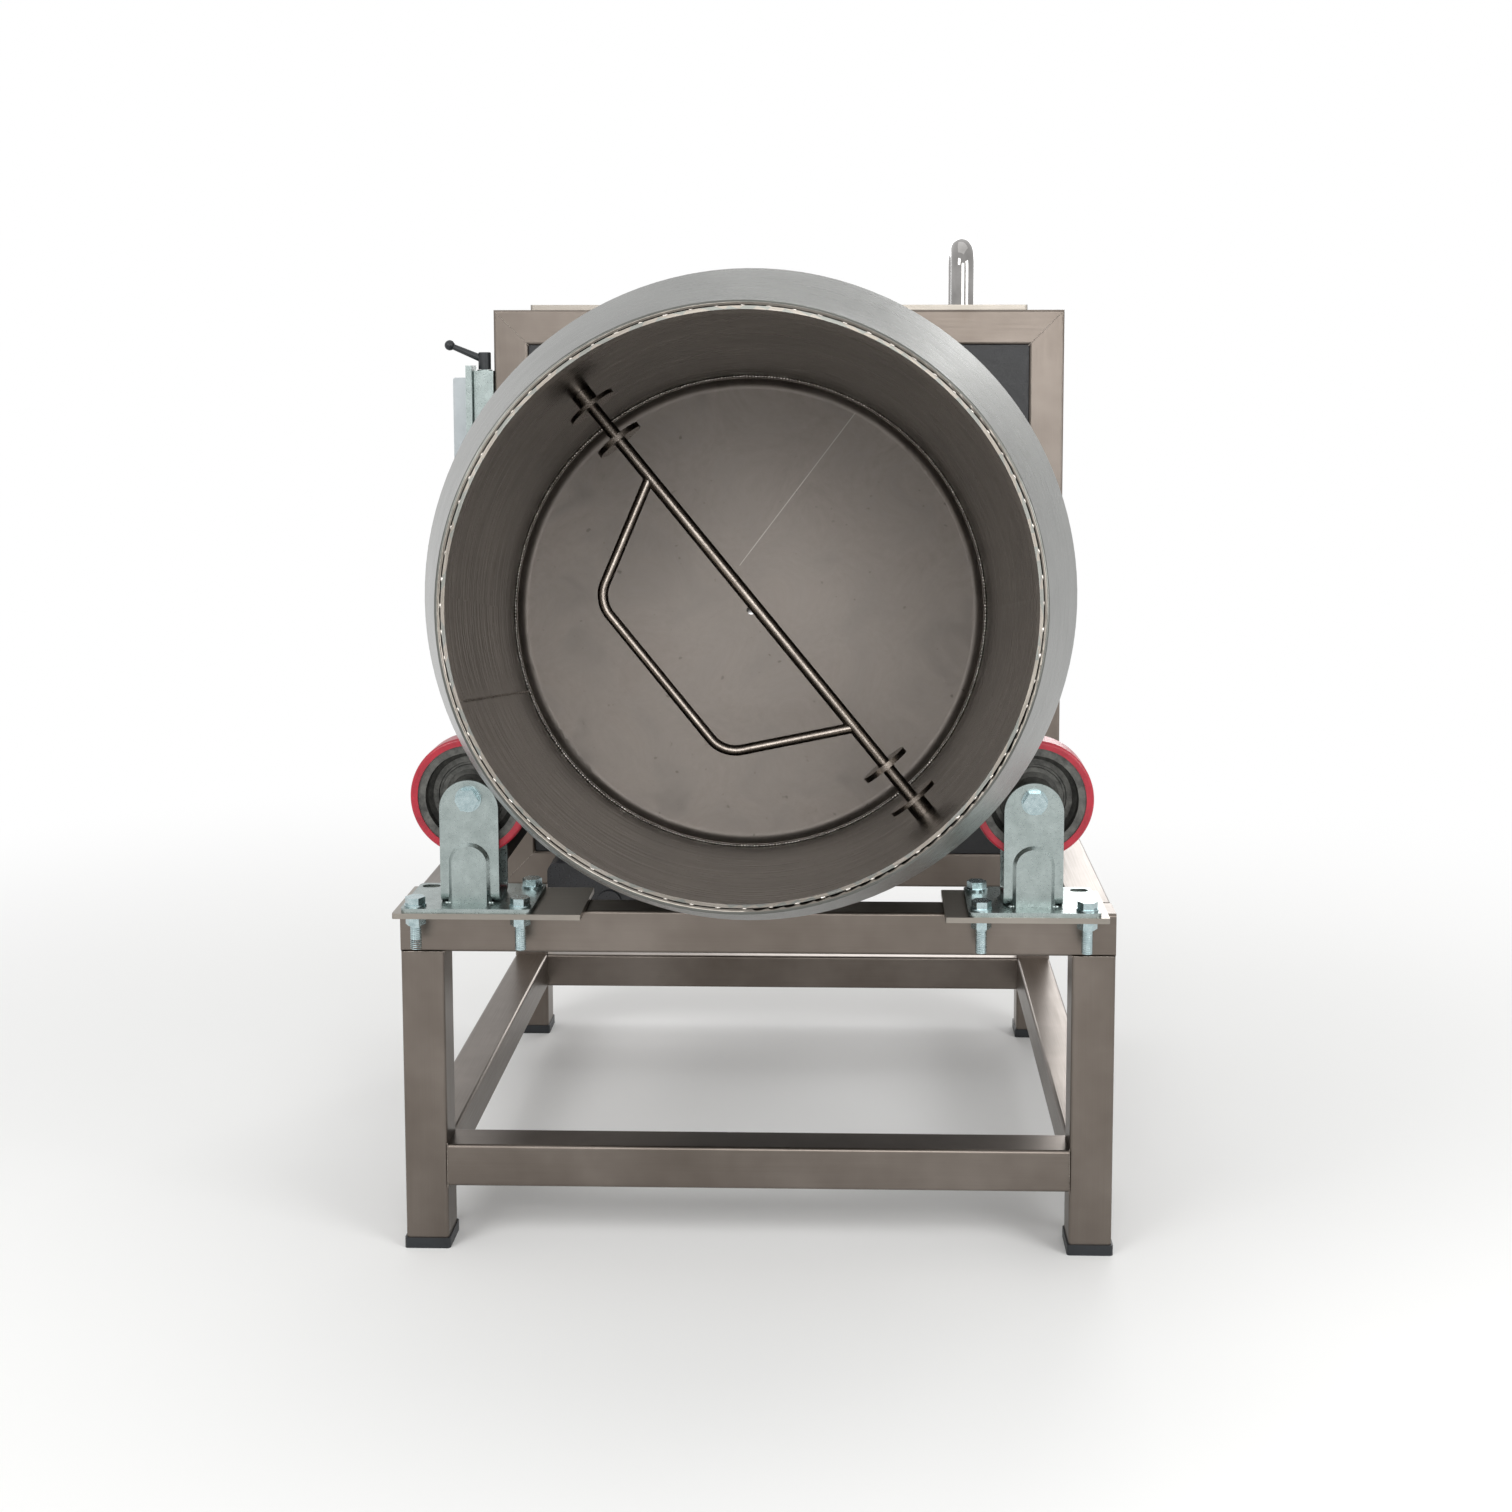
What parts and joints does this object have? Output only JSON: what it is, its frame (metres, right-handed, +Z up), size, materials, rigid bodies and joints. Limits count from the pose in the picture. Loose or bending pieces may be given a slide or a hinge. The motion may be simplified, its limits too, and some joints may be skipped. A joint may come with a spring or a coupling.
{
  "type": "meat vacuum tumbler",
  "caption": "Meat vacuum tumbler: tilted open drum on caster rollers and a rear drive box, with a cross agitator, on a welded square-tube table.",
  "frame": {"origin": "bottom centre of the machine's bounding box, on the floor", "axes": "+X to the right seen from the drum's mouth, +Y from the mouth to the rear box, +Z up"},
  "size_m": [0.72, 1.0444, 0.975],
  "materials": {
    "frame_steel": "brushed",
    "drum_steel": "rolled and brushed",
    "base_steel": "brushed",
    "zinc_plate": "zinc plated, satin",
    "cast_iron": "machined",
    "red_tread": "smooth",
    "black_plate": "satin",
    "grey_enamel": "satin",
    "gearbox_paint": "satin",
    "black_enamel": "semi-gloss",
    "chrome": "polished",
    "black_plastic": "matte",
    "green_plastic": "gloss",
    "red_plastic": "gloss",
    "bright_steel": "turned"
  },
  "bodies": {
    "stand": {"front_legs": "frame_steel", "rear_posts": "frame_steel", "foot_caps": "black_plastic", "front_top_rail": "frame_steel", "side_top_rails": "frame_steel", "rear_mid_rail": "frame_steel", "front_stretcher": "frame_steel", "rear_stretcher": "frame_steel", "side_stretchers": "frame_steel", "base_plates": "base_steel", "box_posts": "frame_steel", "box_top_rail": "frame_steel", "box_bottom_rail": "frame_steel", "box_rear_top_rail": "frame_steel", "box_side_ties": "frame_steel", "drive_plate": "black_plate", "side_panels": "frame_steel", "back_panel": "frame_steel", "back_panel_screws": "zinc_plate", "top_cover": "frame_steel", "lifting_handle": "chrome", "left_caster_fork": "zinc_plate", "right_caster_fork": "zinc_plate", "axle_bolts": "zinc_plate", "axle_washers": "zinc_plate", "axle_nuts": "zinc_plate", "caster_bolts": "zinc_plate", "caster_washers": "zinc_plate", "caster_nuts": "zinc_plate", "roller_bushes": "bright_steel", "bearing_pad": "black_plate", "bearing_housing": "cast_iron", "bearing_bolts": "zinc_plate", "gearbox": "gearbox_paint", "motor_body": "gearbox_paint", "rotary_union": "bright_steel", "control_support": "frame_steel", "control_box": "grey_enamel", "pump_bracket": "frame_steel", "pump": "black_enamel"},
    "drum": {"drum_cylinder": "drum_steel", "drum_cone": "drum_steel", "mouth_ring": "drum_steel", "drum_back": "drum_steel", "hub_plate": "drum_steel", "hub_bolts": "zinc_plate", "drum_shaft": "bright_steel", "agitator_bar": "drum_steel", "agitator_paddle": "drum_steel", "agitator_fittings": "drum_steel", "bearing_ring": "bright_steel"},
    "left_roller": {"left_roller_core": "cast_iron", "left_roller_tread": "red_tread"},
    "right_roller": {"right_roller_core": "cast_iron", "right_roller_tread": "red_tread"},
    "motor_armature": {"motor_rotor": "bright_steel"},
    "clamp_handle": {"clamp_lever": "black_plastic"},
    "speed_dial": {"speed_knob": "black_plastic"},
    "start_plunger": {"start_button": "green_plastic"},
    "stop_plunger": {"stop_button": "red_plastic"}
  },
  "joints": [
    {"name": "drum_spin", "type": "hinge", "parent": "stand", "child": "drum", "pos_m": [0.00561, 0.19481, 0.5612], "axis": [-0.0552, 0.9875, -0.1478], "continuous": true},
    {"name": "left_roller_spin", "type": "hinge", "parent": "stand", "child": "left_roller", "pos_m": [-0.2345, -0.1392, 0.431], "axis": [0, 1, 0], "continuous": true},
    {"name": "right_roller_spin", "type": "hinge", "parent": "stand", "child": "right_roller", "pos_m": [0.2815, -0.1392, 0.431], "axis": [0, 1, 0], "continuous": true},
    {"name": "motor_spin", "type": "hinge", "parent": "stand", "child": "motor_armature", "pos_m": [0.05521, 0.41838, 0.4777], "axis": [0.9984, 0.0558, 0], "continuous": true},
    {"name": "clamp_lever_turn", "type": "hinge", "parent": "stand", "child": "clamp_handle", "pos_m": [-0.3135, 0.3638, 0.82], "axis": [0, 0, 1], "range_deg": [-80, 80]},
    {"name": "speed_knob_turn", "type": "hinge", "parent": "stand", "child": "speed_dial", "pos_m": [-0.3275, 0.4758, 0.757], "axis": [0, 1, 0], "range_deg": [-135, 135]},
    {"name": "start_press", "type": "slide", "parent": "stand", "child": "start_plunger", "axis": [1, 0, 0], "range_m": [0, 0.003], "stiffness_N_per_m": 400},
    {"name": "stop_press", "type": "slide", "parent": "stand", "child": "stop_plunger", "axis": [1, 0, 0], "range_m": [0, 0.003], "stiffness_N_per_m": 400}
  ],
  "couplings": [
    {"joint": "left_roller_spin", "follows": "drum_spin", "ratio": -4.6545},
    {"joint": "right_roller_spin", "follows": "drum_spin", "ratio": -4.6545},
    {"joint": "motor_spin", "follows": "drum_spin", "ratio": 40}
  ]
}
